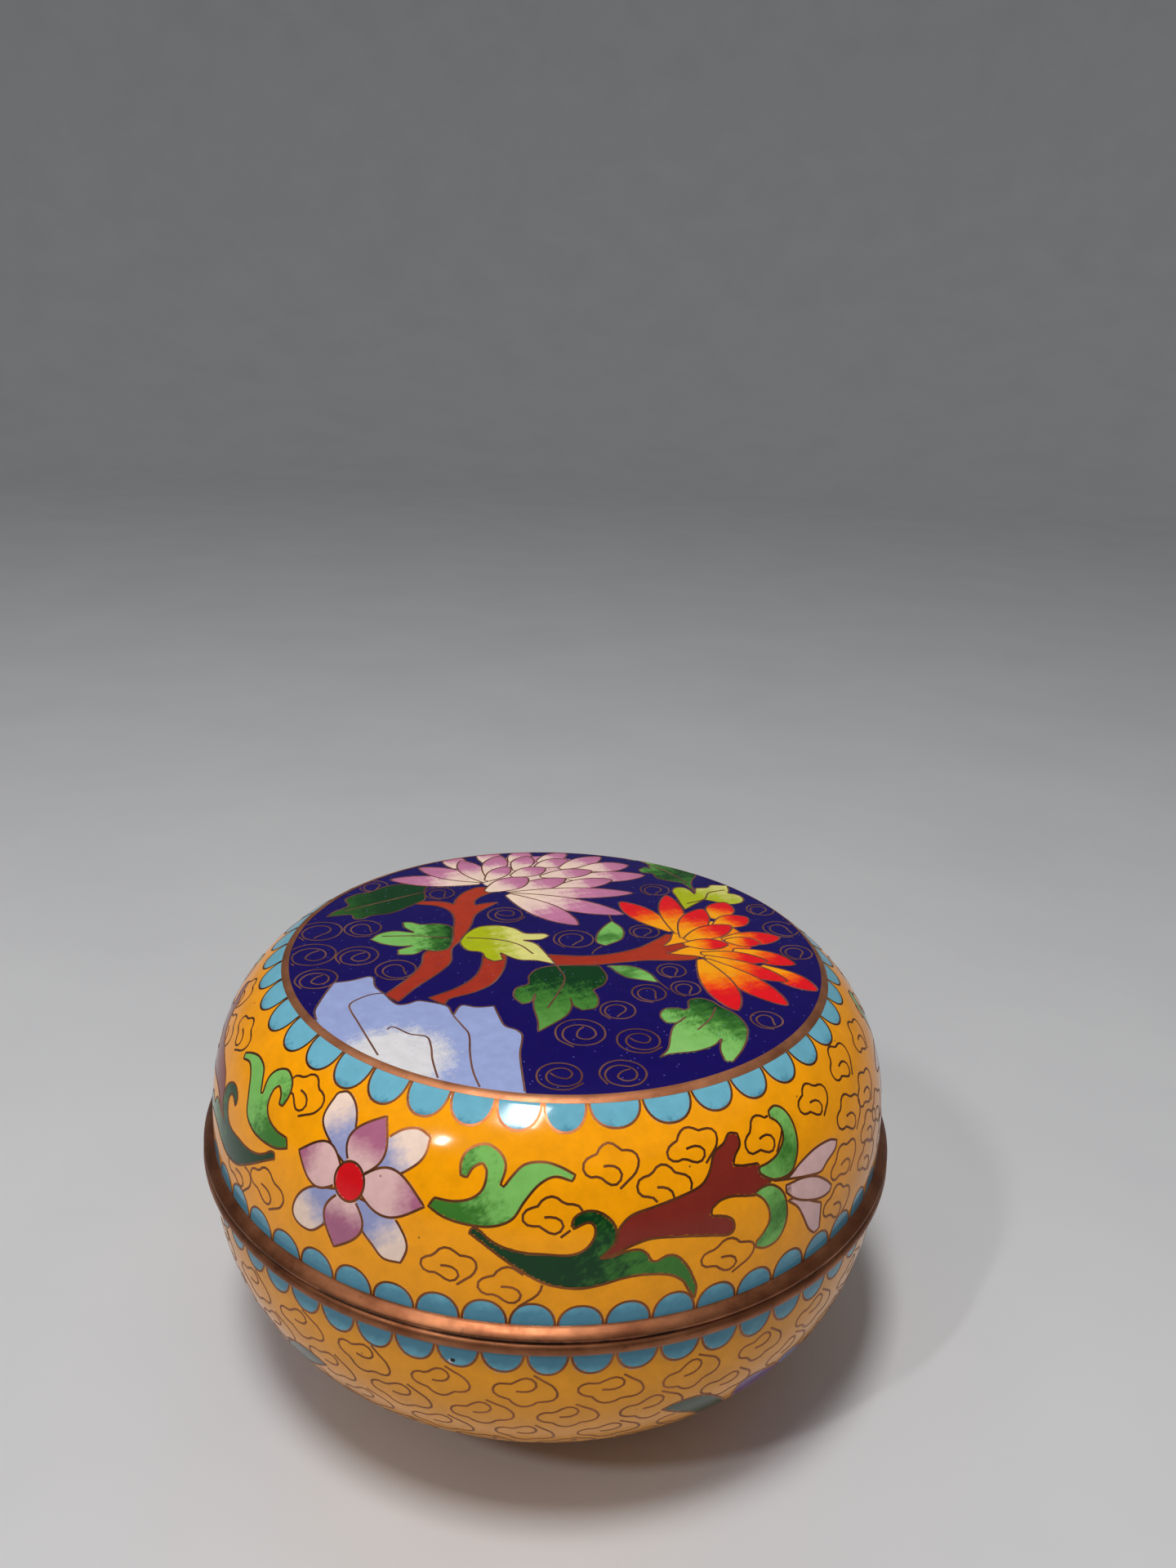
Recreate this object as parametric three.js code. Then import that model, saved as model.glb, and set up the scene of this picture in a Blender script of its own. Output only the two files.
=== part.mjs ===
// A round lidded cloisonne box: two copper shells under fired enamel, with a loose lid on a
// lipped base. Millimetres, +Z up, origin at the centre of the foot, on the table.
import * as THREE from 'three';

// Every piece is round, with this many sides and a corner on each axis.
const SIDES = 36;
// Steps along the curved side of the lid and of the base.
const SIDE_STEPS = 5;

// Heights above the table, and rises above what is below them
const SEAM_HEIGHT = 38.5;
const UNDERSIDE_HEIGHT = 3.7;
const LID_HEIGHT = 24.9;
const RING_RISE = 0.5;
const DOME_RISE = 0.8;

// Outside radii. The lid's side is set back a little from the base's, and the rims stand proud.
const SIDE_RADIUS = 49.7;
const LID_SETBACK = 0.4;
const RIM_PROUD = 1.1;
const RING_RADIUS = 39.4;
const FOOT_RADIUS = 27.0;

// Fullness of each side curve: 2 is an ellipse, and more is squarer.
const LID_FULLNESS = 3.0;
const BASE_FULLNESS = 2.62;

// Layers of the wall, from the outside in
const ENAMEL_THICKNESS = 0.8;
const COPPER_THICKNESS = 1.1;
const LINING_THICKNESS = 0.6;

// Copper bands: the ring round the top, the rims at the seam and the foot
const RING_WIDTH = 1.05;
const RING_CROWN = 0.1;
const LID_RIM_HEIGHT = 1.5;
const BASE_RIM_HEIGHT = 2.1;
const RIM_BULGE = 0.5;
const RIM_STEPS = 4;
const CAP_THICKNESS = 0.6;
const FOOT_WALL = 1.6;

// The upright lip on the base, which the lid drops over
const LIP_HEIGHT = 3.5;
const LIP_THICKNESS = 1.0;
const LIP_CLEARANCE = 0.5;

const BASE_RADIUS = SIDE_RADIUS;
const LID_RADIUS = SIDE_RADIUS - LID_SETBACK;
const RIM_RADIUS = SIDE_RADIUS + RIM_PROUD;

const point = (radius, height) => new THREE.Vector2(radius, height);

// A side curve is a superellipse round the seam: it is widest there, and its radius falls to
// nothing at its full depth. A share is a part of that depth.
const radiusAt = (widest, fullness, share) =>
  widest * Math.pow(1 - Math.pow(share, fullness), 1 / fullness);
const shareAt = (widest, fullness, radius) =>
  Math.pow(1 - Math.pow(radius / widest, fullness), 1 / fullness);

// Points down a side curve between two shares, evenly spaced in the turning angle.
// The depth is positive above the seam and negative below it.
function sideCurve(widest, fullness, depth, fromShare, toShare) {
  const fromAngle = Math.asin(Math.pow(fromShare, fullness / 2));
  const toAngle = Math.asin(Math.pow(toShare, fullness / 2));
  return Array.from({ length: SIDE_STEPS + 1 }, (_, step) => {
    const angle = THREE.MathUtils.lerp(fromAngle, toAngle, step / SIDE_STEPS);
    const share = Math.pow(Math.sin(angle), 2 / fullness);
    return point(radiusAt(widest, fullness, share), SEAM_HEIGHT + share * depth);
  });
}

// A path from the rim to the axis, moved into the wall by a depth, with mitred corners.
// It leaves the rim level and meets the axis square. The inside lies to the left of a path
// that climbs (side 1), and to the right of one that goes down (side -1).
function layer(path, depth, side) {
  return path.map((here, index) => {
    const before = index > 0 ? here.clone().sub(path[index - 1]).normalize() : null;
    const after = path[index + 1] ? path[index + 1].clone().sub(here).normalize() : null;
    const arriving = before ?? point(-after.x, after.y);
    const leaving = after ?? point(before.x, -before.y);
    const along = arriving.clone().add(leaving).normalize();
    const inward = point(-along.y, along.x).multiplyScalar(side);
    return here.clone().addScaledVector(inward, depth / along.dot(leaving));
  });
}

// The section between two paths that both run from the rim inwards.
const between = (outer, inner) => [...inner.toReversed(), ...outer];

// A path that first drops or climbs straight to a height at its own first radius.
const fromHeight = (path, height) => [point(path[0].x, height), ...path];

// The rounded outer face of a rim between two heights: half an ellipse.
const bead = (bottom, top) =>
  Array.from({ length: RIM_STEPS + 1 }, (_, step) => {
    const angle = Math.PI * (step / RIM_STEPS - 0.5);
    const middle = (bottom + top) / 2;
    const half = (top - bottom) / 2;
    return point(RIM_RADIUS - RIM_BULGE * (1 - Math.cos(angle)), middle + half * Math.sin(angle));
  });

// A turned solid. Its section either starts and ends on the axis or is closed here.
function turned(name, section, color, roughness, metalness) {
  const corners = THREE.ShapeUtils.isClockWise(section) ? section.toReversed() : [...section];
  if (corners[0].x > 0) corners.push(corners[0].clone());
  const geometry = new THREE.LatheGeometry(corners, SIDES).rotateX(Math.PI / 2);
  const mesh = new THREE.Mesh(geometry, new THREE.MeshStandardMaterial({
    color, roughness, metalness,
  }));
  mesh.name = name;
  return mesh;
}

// Finishes: patinated copper, and the enamel colours
const copper = (name, section) => turned(name, section, 0x9a6644, 0.38, 1);
const enamel = (name, section, color) => turned(name, section, color, 0.12, 0);
const YELLOW = 0xe8a016;
const COBALT = 0x241a72;
const TURQUOISE = 0x4fb0c8;

// How deep each layer starts below the outside
const COPPER_DEPTH = ENAMEL_THICKNESS;
const LINING_DEPTH = COPPER_DEPTH + COPPER_THICKNESS;
const WALL = LINING_DEPTH + LINING_THICKNESS;

// The outside of the lid from the rim to the axis: side, copper ring and domed top.
const ringInside = point(RING_RADIUS - RING_WIDTH, SEAM_HEIGHT + LID_HEIGHT + RING_RISE);
const lidDepth = LID_HEIGHT / shareAt(LID_RADIUS, LID_FULLNESS, RING_RADIUS);
const lidSide = sideCurve(LID_RADIUS, LID_FULLNESS, lidDepth, LID_RIM_HEIGHT / lidDepth,
  LID_HEIGHT / lidDepth);
const domeAt = (share) =>
  point(ringInside.x * share, ringInside.y + DOME_RISE * (1 - share * share));
const lidOutside = [...lidSide, ringInside, domeAt(0.55), domeAt(0)];
const ringStart = lidSide.length - 1;
const topStart = lidSide.length;

const lidCopper = layer(lidOutside, COPPER_DEPTH, 1);
const lidLining = layer(lidOutside, LINING_DEPTH, 1);
const lidInside = layer(lidOutside, WALL, 1);
const lidCapHeight = SEAM_HEIGHT + CAP_THICKNESS;

// The outside of the base from the rim to the axis: side, foot and underside.
const baseDepth = SEAM_HEIGHT - UNDERSIDE_HEIGHT;
const baseHeight = (radius) =>
  SEAM_HEIGHT - baseDepth * shareAt(BASE_RADIUS, BASE_FULLNESS, radius);
const baseSide = sideCurve(BASE_RADIUS, BASE_FULLNESS, -baseDepth, BASE_RIM_HEIGHT / baseDepth,
  shareAt(BASE_RADIUS, BASE_FULLNESS, FOOT_RADIUS));
const footInside = point(FOOT_RADIUS - FOOT_WALL, baseHeight(FOOT_RADIUS - FOOT_WALL));
const undersideMiddle = point(footInside.x / 2, baseHeight(footInside.x / 2));
const baseOutside = [...baseSide, footInside, undersideMiddle, point(0, UNDERSIDE_HEIGHT)];
const footStart = baseSide.length - 1;
const undersideStart = baseSide.length;

const baseCopper = layer(baseOutside, COPPER_DEPTH, -1);
const baseLining = layer(baseOutside, LINING_DEPTH, -1);
const baseInside = layer(baseOutside, WALL, -1);
const baseCapHeight = SEAM_HEIGHT - CAP_THICKNESS;

// Lid: copper shell, enamel outside and inside, and the copper bands soldered to it
function lidPieces() {
  const [copperFoot, insideFoot] = [lidCopper[0], lidInside[0]];
  const crown = point((lidSide[ringStart].x + ringInside.x) / 2,
    (lidSide[ringStart].y + ringInside.y) / 2 + RING_CROWN);
  return [
    copper('lid_body', between(fromHeight(lidCopper, lidCapHeight),
      fromHeight(lidLining, lidCapHeight))),
    enamel('lid_side_enamel', between(lidSide, lidCopper.slice(0, topStart)), YELLOW),
    enamel('lid_top_enamel', between(lidOutside.slice(topStart), lidCopper.slice(topStart)),
      COBALT),
    enamel('lid_lining', between(fromHeight(lidLining, lidCapHeight),
      fromHeight(lidInside, lidCapHeight)), TURQUOISE),
    copper('lid_top_ring', between([lidSide[ringStart], crown, ringInside],
      [lidCopper[ringStart], lidCopper[topStart]])),
    copper('lid_rim', [point(copperFoot.x, lidCapHeight), point(insideFoot.x, lidCapHeight),
      point(insideFoot.x, SEAM_HEIGHT), ...bead(SEAM_HEIGHT, copperFoot.y), copperFoot]),
  ];
}

// Base: copper shell, enamel outside, inside and below, its rim with the lip, and the foot
function basePieces() {
  const copperTop = baseCopper[0];
  const lipOutside = lidInside[0].x - LIP_CLEARANCE;
  const lipInside = lipOutside - LIP_THICKNESS;
  const lipTop = SEAM_HEIGHT + LIP_HEIGHT;
  return [
    copper('base_body', between(fromHeight(baseCopper, baseCapHeight),
      fromHeight(baseLining, baseCapHeight))),
    enamel('base_side_enamel', between(baseSide, baseCopper.slice(0, undersideStart)), YELLOW),
    enamel('base_underside_enamel', between(baseOutside.slice(undersideStart),
      baseCopper.slice(undersideStart)), TURQUOISE),
    enamel('base_lining', between(fromHeight(baseLining, baseCapHeight),
      fromHeight(baseInside, baseCapHeight)), TURQUOISE),
    copper('base_rim', [copperTop, ...bead(copperTop.y, SEAM_HEIGHT),
      point(lipOutside, SEAM_HEIGHT), point(lipOutside, lipTop), point(lipInside, lipTop),
      point(lipInside, baseCapHeight), point(copperTop.x, baseCapHeight)]),
    copper('foot_ring', [point(FOOT_RADIUS, 0), baseSide[footStart], baseCopper[footStart],
      baseCopper[undersideStart], footInside, point(footInside.x, 0)]),
  ];
}

const box = new THREE.Group();
box.add(...basePieces(), ...lidPieces());

export default box;
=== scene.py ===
import bpy
import numpy as np
from mathutils import Matrix, Vector


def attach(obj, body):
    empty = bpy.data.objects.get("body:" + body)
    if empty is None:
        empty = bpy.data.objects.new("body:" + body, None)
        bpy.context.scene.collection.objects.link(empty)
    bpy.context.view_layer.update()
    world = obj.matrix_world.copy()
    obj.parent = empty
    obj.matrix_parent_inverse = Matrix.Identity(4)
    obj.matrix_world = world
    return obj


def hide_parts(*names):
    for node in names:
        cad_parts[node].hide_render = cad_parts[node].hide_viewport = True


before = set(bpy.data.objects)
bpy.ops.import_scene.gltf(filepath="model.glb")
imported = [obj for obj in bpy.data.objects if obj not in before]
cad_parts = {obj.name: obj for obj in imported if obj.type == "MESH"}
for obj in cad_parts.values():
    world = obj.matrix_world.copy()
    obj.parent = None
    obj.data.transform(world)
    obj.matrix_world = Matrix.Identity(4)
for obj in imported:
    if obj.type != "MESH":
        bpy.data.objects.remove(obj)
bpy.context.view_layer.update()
scene = bpy.context.scene

# The box's own sizes, in millimetres
MM = 0.001
SEAM = 38.5
LID_HEIGHT = 24.9
UNDERSIDE = 3.7
RING_OUTSIDE = 39.4
RING_INSIDE = 38.35
TOP_HEIGHT = 63.9
DOME_RISE = 0.75
LID_RADIUS = 49.3
BASE_RADIUS = 49.7
RIM_RADIUS = 50.8
LID_RIM = 1.5
BASE_RIM = 2.1
LID_FULLNESS = 3.0
BASE_FULLNESS = 2.62
FOOT_RADIUS = 27.0
FOOT_WALL = 1.6
ENAMEL = 0.8
WALL = 2.5
LIP_HEIGHT = 3.5
LIP_THICKNESS = 1.0
LIP_CLEARANCE = 0.5

# The ring was soldered on a little off the middle, to the right. It stands a little over the two
# coats, which run on under it.
RING_SHIFT = 0.4
RING_LIFT = 0.04
RING_CROWN = 0.09
TOP_UNDER_RING = 0.03
SIDE_UNDER_RING = 0.5

# How fine the meshes are: points along a side of the top's grid, rows and columns of the sides',
# and steps along and round the curves
TOP_GRID = 300
LID_GRID = (98, 960)
BASE_GRID = (96, 800)
INNER_ROWS = 5
CURVE_STEPS = 2000
TAIL_STEPS = 20
AROUND = 360

# How wide the copper wires are
TOP_WIRE = 0.26
SIDE_WIRE = 0.3

# A side is drawn flat, as turn (millimetres round it, 0 at the front, to the right) and drop
# (millimetres along it from a line near the rim). One degree counts as this many millimetres.
DEGREE = 0.86
ROUND = 360 * DEGREE
LID_EDGE = -0.6
BASE_EDGE = 0.0


# Surfaces

def side_curve(widest, fullness, depth, first, last, way, edge, tail=()):
    """A side from its rim inwards: radius = widest (1 - share^fullness)^(1/fullness) at the height
    seam + way * share * depth, then straight to the tail's place. Gives its running length from
    the edge's, its radius, height and outward normal."""
    share = np.linspace(first, last, CURVE_STEPS)
    radius = widest * (1 - share ** fullness) ** (1 / fullness)
    height = SEAM + way * share * depth
    if tail:
        radius = np.append(radius, np.linspace(radius[-1], tail[0], TAIL_STEPS)[1:])
        height = np.append(height, np.linspace(height[-1], tail[1], TAIL_STEPS)[1:])
    steps = np.hypot(np.diff(radius), np.diff(height))
    length = edge + np.append(0, np.cumsum(steps))
    across, up = np.gradient(radius, length), np.gradient(height, length)
    size = np.hypot(across, up)
    return length, radius, height, way * up / size, -way * across / size


def share_at(widest, fullness, radius):
    """The share of the depth at which a side curve has this radius."""
    return (1 - (radius / widest) ** fullness) ** (1 / fullness)


LID_DEPTH = LID_HEIGHT / share_at(LID_RADIUS, LID_FULLNESS, RING_OUTSIDE)
BASE_DEPTH = SEAM - UNDERSIDE
RING_SLOPE = (TOP_HEIGHT - SEAM - LID_HEIGHT) / (RING_OUTSIDE - RING_INSIDE)
LID_CURVE = side_curve(LID_RADIUS, LID_FULLNESS, LID_DEPTH, LID_RIM / LID_DEPTH,
                       LID_HEIGHT / LID_DEPTH, 1, LID_EDGE,
                       (RING_OUTSIDE - SIDE_UNDER_RING,
                        SEAM + LID_HEIGHT + SIDE_UNDER_RING * RING_SLOPE))
BASE_CURVE = side_curve(BASE_RADIUS, BASE_FULLNESS, BASE_DEPTH, BASE_RIM / BASE_DEPTH,
                        share_at(BASE_RADIUS, BASE_FULLNESS, FOOT_RADIUS), -1, BASE_EDGE)
RING_DROP = np.interp(-RING_OUTSIDE, -LID_CURVE[1], LID_CURVE[0])


def on_side(curve):
    """A function that puts flat (turn, drop) points on a side, lifted along its normal."""
    length, radius, height, normal_out, normal_up = curve

    def place(flat, lift=0.0):
        angle = np.radians(flat[..., 0] / DEGREE)
        drop = flat[..., 1]
        out = np.interp(drop, length, radius) + lift * np.interp(drop, length, normal_out)
        up = np.interp(drop, length, height) + lift * np.interp(drop, length, normal_up)
        return np.stack([out * np.sin(angle), -out * np.cos(angle), up], -1)
    return place


def on_top(flat, lift=0.0):
    """Flat (x, y) points on the domed top: height = top + rise (1 - r^2 / inside^2) + lift."""
    far = (flat ** 2).sum(-1) / RING_INSIDE ** 2
    return np.concatenate([flat, (TOP_HEIGHT + DOME_RISE * (1 - far) + lift)[..., None]], -1)


on_lid = on_side(LID_CURVE)
on_base = on_side(BASE_CURVE)


# Meshes

# Faces that meet at less than this angle, in radians, are shaded as one surface
SMOOTH_BELOW = 0.6


def new_piece(name, points, faces):
    """A mesh object from points in millimetres and rows of corner numbers (four, or three)."""
    mesh = bpy.data.meshes.new(name)
    corners = np.concatenate([np.ravel(part) for part in faces]).astype(np.int32)
    counts = np.concatenate([np.full(len(part), part.shape[1]) for part in faces])
    mesh.vertices.add(len(points))
    mesh.vertices.foreach_set("co", (points * MM).astype(np.float32).ravel())
    mesh.loops.add(len(corners))
    mesh.loops.foreach_set("vertex_index", corners)
    mesh.polygons.add(len(counts))
    mesh.polygons.foreach_set("loop_start", np.append(0, np.cumsum(counts)[:-1]).astype(np.int32))
    mesh.update(calc_edges=True)
    mesh.validate()
    mesh.shade_smooth()
    mesh.set_sharp_from_angle(angle=SMOOTH_BELOW)
    piece = bpy.data.objects.new(name, mesh)
    scene.collection.objects.link(piece)
    return piece


def grid_faces(rows, columns, wrap_rows=False, wrap_columns=False):
    """Quads of a grid whose point (row, column) is number row * columns + column."""
    row = np.arange(rows if wrap_rows else rows - 1)[:, None]
    column = np.arange(columns if wrap_columns else columns - 1)[None, :]
    below, right = (row + 1) % rows, (column + 1) % columns
    return np.stack([row * columns + column, row * columns + right,
                     below * columns + right, below * columns + column], -1).reshape(-1, 4)


def revolved(radius, height, around):
    """Rows of points carried round the box's axis in even steps a: (r cos a, r sin a, height)."""
    angle = np.arange(around) * 2 * np.pi / around
    points = np.broadcast_arrays(radius * np.cos(angle), radius * np.sin(angle), height)
    return np.stack(points, -1).reshape(-1, 3)


def turned(name, section):
    """A closed section of (radius, height) points turned about the box's axis. The section runs
    anticlockwise, seen with the radius to the right and the height up."""
    faces = grid_faces(len(section), AROUND, True, True)[:, ::-1]
    return new_piece(name, revolved(section[:, :1], section[:, 1:], AROUND), [faces])


def arc(centre, radii, first, last, steps):
    """Points on an ellipse's arc between two angles in degrees."""
    angle = np.radians(np.linspace(first, last, steps))
    return np.stack([centre[0] + radii[0] * np.cos(angle), centre[1] + radii[1] * np.sin(angle)], -1)


def side_coat(name, place, curve, grid):
    """A side's coat of enamel: a fine outer grid and a coarse inner one a coat's thickness below,
    closed into one ring. Gives the piece and its points' flat places."""
    rows, around = grid
    outer = np.linspace(curve[0][0], curve[0][-1], rows)
    inner = np.linspace(curve[0][-1], curve[0][0], INNER_ROWS)
    drops = np.concatenate([outer, inner])
    depth = np.concatenate([np.zeros(rows), np.full(INNER_ROWS, -ENAMEL)])
    turns = (np.arange(around) / around - 0.5) * ROUND
    flat = np.stack(np.broadcast_arrays(turns[None, :], drops[:, None]), -1)
    points = place(flat, depth[:, None]).reshape(-1, 3)
    faces = grid_faces(rows + INNER_ROWS, around, True, True)
    if place is on_base:
        faces = faces[:, ::-1]
    return new_piece(name, points, [faces]), flat.reshape(-1, 2)


def top_coat(name, side):
    """The top's coat of enamel. A square grid is drawn out to a disc: the larger of |a| and |b| is
    the radius, and the smaller over the larger, times 45 degrees, the angle from the nearer axis."""
    a, b = np.meshgrid(np.linspace(-1, 1, side), np.linspace(-1, 1, side))
    wide = np.abs(a) >= np.abs(b)
    reach = np.where(wide, a, b)
    other = np.where(wide, b, a)
    angle = np.pi / 4 * other / np.where(reach == 0, 1, reach)
    x = reach * np.where(wide, np.cos(angle), np.sin(angle))
    y = reach * np.where(wide, np.sin(angle), np.cos(angle))
    flat = (RING_INSIDE + TOP_UNDER_RING) * np.stack([x, y], -1).reshape(-1, 2) + (RING_SHIFT, 0)
    number = np.arange(side * side).reshape(side, side)
    edge = np.concatenate([number[0, :-1], number[:-1, -1], number[-1, :0:-1], number[:0:-1, 0]])
    count = len(edge)
    below = on_top(flat[edge], -ENAMEL)
    middle = on_top(np.zeros((1, 2)), -ENAMEL - DOME_RISE)
    points = np.concatenate([on_top(flat), below, middle])
    under = side * side + np.arange(count)
    after = np.roll(under, -1)
    skirt = np.stack([edge, under, after, np.roll(edge, -1)], -1)
    fan = np.stack([after, under, np.full(count, side * side + count)], -1)
    flat = np.concatenate([flat, flat[edge], np.zeros((1, 2))])
    return new_piece(name, points, [grid_faces(side, side), skirt, fan]), flat


def top_ring(name):
    """The copper ring between the two coats: a slightly crowned band whose edges lie on them, each
    moved by shift * cos(angle) off its own circle, with a narrower band under it."""
    narrower_in, narrower_out = 0.1, 0.5
    shift = RING_SHIFT * np.cos(np.arange(AROUND) * 2 * np.pi / AROUND)
    outside, inside = RING_OUTSIDE + shift, RING_INSIDE + shift
    low = np.interp(-outside, -LID_CURVE[1], LID_CURVE[2])
    high = on_top(np.stack([inside, 0 * inside], -1))[:, 2]
    share = np.linspace(0, 1, 9)[:, None]
    radius = outside + share * (inside - outside)
    height = low + share * (high - low) + RING_LIFT + RING_CROWN * np.sin(np.pi * share)
    radius = np.vstack([radius, inside + narrower_in, outside - narrower_out])
    height = np.vstack([height, high - ENAMEL, low - ENAMEL])
    faces = grid_faces(len(height), AROUND, True, True)[:, ::-1]
    return new_piece(name, revolved(radius, height, AROUND), [faces])


# Lines

def smooth(points, closed=True, step=0.45, corner=58.0):
    """A line through the points: cubic pieces whose slopes are weighted means of the straight
    steps on either side, broken where the line turns by more than the corner angle, then cut into
    equal steps along its length. Each piece is a Hermite cubic in t, from 0 to 1."""
    points = np.asarray(points, float)
    before = np.roll(points, 1, 0)
    after = np.roll(points, -1, 0)
    if not closed:
        before[0] = 2 * points[0] - points[1]
        after[-1] = 2 * points[-1] - points[-2]
    arriving, leaving = points - before, after - points
    long_in, long_out = np.hypot(*arriving.T), np.hypot(*leaving.T)
    cosine = (arriving * leaving).sum(-1) / (long_in * long_out)
    sharp = (np.degrees(np.arccos(np.clip(cosine, -1, 1))) > corner)[:, None]
    slope = (arriving + leaving) / (long_in + long_out)[:, None]
    start = np.arange(len(points) if closed else len(points) - 1)
    end = (start + 1) % len(points)
    length = long_out[start][:, None]
    leave = np.where(sharp[start], leaving[start], slope[start] * length)[:, None]
    arrive = np.where(sharp[end], leaving[start], slope[end] * length)[:, None]
    t = (np.arange(10) / 10)[None, :, None]
    here, there = points[start][:, None], points[end][:, None]
    curve = ((2 * t ** 3 - 3 * t ** 2 + 1) * here + (t ** 3 - 2 * t ** 2 + t) * leave
             + (3 * t ** 2 - 2 * t ** 3) * there + (t ** 3 - t ** 2) * arrive).reshape(-1, 2)
    curve = np.vstack([curve, points[:1] if closed else points[-1:]])
    run = np.append(0, np.cumsum(np.hypot(*np.diff(curve, axis=0).T)))
    steps = max(int(round(run[-1] / step)), 3)
    at = np.linspace(0, run[-1], steps + 1)
    line = np.stack([np.interp(at, run, curve[:, 0]), np.interp(at, run, curve[:, 1])], -1)
    return line[:-1] if closed else line


def petal(base, tip, width, fullest=0.58, bluntness=0.72, bow=0.0):
    """A petal's outline between two points. Its half width is width / 2 times
    sin(pi s^p)^bluntness, where s runs from a start at the base to 1 at the tip and p puts the widest
    place at the given share; bow carries the tip sideways, growing as the cube of the way."""
    base, tip = np.asarray(base, float), np.asarray(tip, float)
    along = tip - base
    aside = np.array([-along[1], along[0]]) / np.hypot(*along)
    t = np.linspace(0, 1, 22)
    start = 0.08
    power = np.log(0.5) / np.log(fullest)
    half = width / 2 * np.clip(np.sin(np.pi * (start + (1 - start) * t) ** power), 0, 1) ** bluntness
    middle = base + along * t[:, None] + aside * (bow * t ** 3)[:, None]
    return np.vstack([middle + aside * half[:, None], (middle - aside * half[:, None])[-2::-1]])


# A curl's way in: turns from its outer end, and the radius there as a share of the full one. It
# ends in a short hook down to its outer turn, or in a bar across its middle.
CURL = [(0, 1.1), (0.12, 1.04), (0.25, 1.0), (0.37, 0.99), (0.5, 0.98), (0.62, 0.97), (0.75, 0.96),
        (0.87, 0.95), (1.0, 0.92), (1.12, 0.8), (1.25, 0.68), (1.37, 0.6), (1.5, 0.55)]
HOOK = [(1.62, 0.47), (1.75, 0.37), (1.87, 0.4), (1.95, 0.74)]
BAR = [(1.62, 0.56), (1.75, 0.6), (1.87, 0.56), (2.0, 0.4), (2.12, 0.18), (2.4, 0.2), (2.5, 0.45)]


def curl(centre, size, start, ending):
    """A wire curl: a smooth line through its points, which turn clockwise from a start angle."""
    turns, shares = np.array(CURL + ending).T
    angle = np.radians(start) - 2 * np.pi * turns
    line = centre + size * shares[:, None] * np.stack([np.cos(angle), np.sin(angle)], -1)
    return smooth(line, closed=False, step=0.4, corner=80)


CLOUD = [(-1.1, -0.1), (0.25, -0.1), (1.2, -0.6), (1.5, -1.4), (0.9, -2.2), (0.1, -2.4),
         (-0.8, -2.0), (-1.8, -1.3), (-3.1, -1.3), (-4.0, -0.6), (-3.9, 0.5), (-3.0, 1.1),
         (-2.0, 1.4), (-1.4, 2.2), (-0.25, 2.7), (0.85, 2.4), (1.7, 1.7), (2.8, 1.6), (3.8, 1.2),
         (4.2, 0.2), (3.5, -1.2), (2.5, -1.9), (1.1, -2.9)]


def cloud(centre, size, index):
    """A bent wire cloud about a flat point, turned and stretched a little from one to the next."""
    tilt = 0.16 * np.sin(2.3 * index)
    swing = np.array([[np.cos(tilt), np.sin(tilt)], [-np.sin(tilt), np.cos(tilt)]])
    stretch = size * np.array([1 + 0.06 * np.sin(1.7 * index), 1 + 0.06 * np.cos(3.1 * index)])
    return smooth(np.array(CLOUD) @ swing * stretch + centre, closed=False, step=0.7, corner=75)


def degrees(points):
    """(degrees, drop) points as flat ones."""
    return np.asarray(points, float) * (DEGREE, 1)


# Pictures: cells and wires laid on a coat in order, the later over the earlier

def inside(points, outline):
    """Which points lie inside an outline: those with an odd number of its edges to their right."""
    x, y = points[:, 0, None], points[:, 1, None]
    ax, ay = outline.T
    bx, by = np.roll(outline, -1, 0).T
    crossing = (ay > y) != (by > y)
    rise = np.where(by == ay, 1, by - ay)
    return np.count_nonzero(crossing & (x < ax + (y - ay) / rise * (bx - ax)), axis=1) % 2 == 1


def near(points, centre, period):
    """The points, brought to within half a turn of a centre."""
    if not period:
        return points
    moved = points.copy()
    moved[:, 0] = (points[:, 0] - centre + period / 2) % period - period / 2 + centre
    return moved


def linear(colour):
    """A colour given as 0 to 255 on a screen, in the renderer's scale."""
    share = np.asarray(colour, float) / 255
    return np.where(share <= 0.04045, share / 12.92, ((share + 0.055) / 1.055) ** 2.4)


def mottle(flat, scale):
    """An uneven value of about -1 to 1: a sum of five sine waves in different directions."""
    waves = np.array([[1.0, 0.3, 0.0], [-0.6, 1.1, 1.7], [0.4, -1.7, 3.1], [2.1, 1.3, 0.6],
                      [-1.9, 2.4, 4.2]])
    phase = flat @ waves[:, :2].T / scale * 2 * np.pi + waves[:, 2]
    return np.sin(phase) @ np.array([0.35, 0.3, 0.25, 0.2, 0.15])


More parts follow.
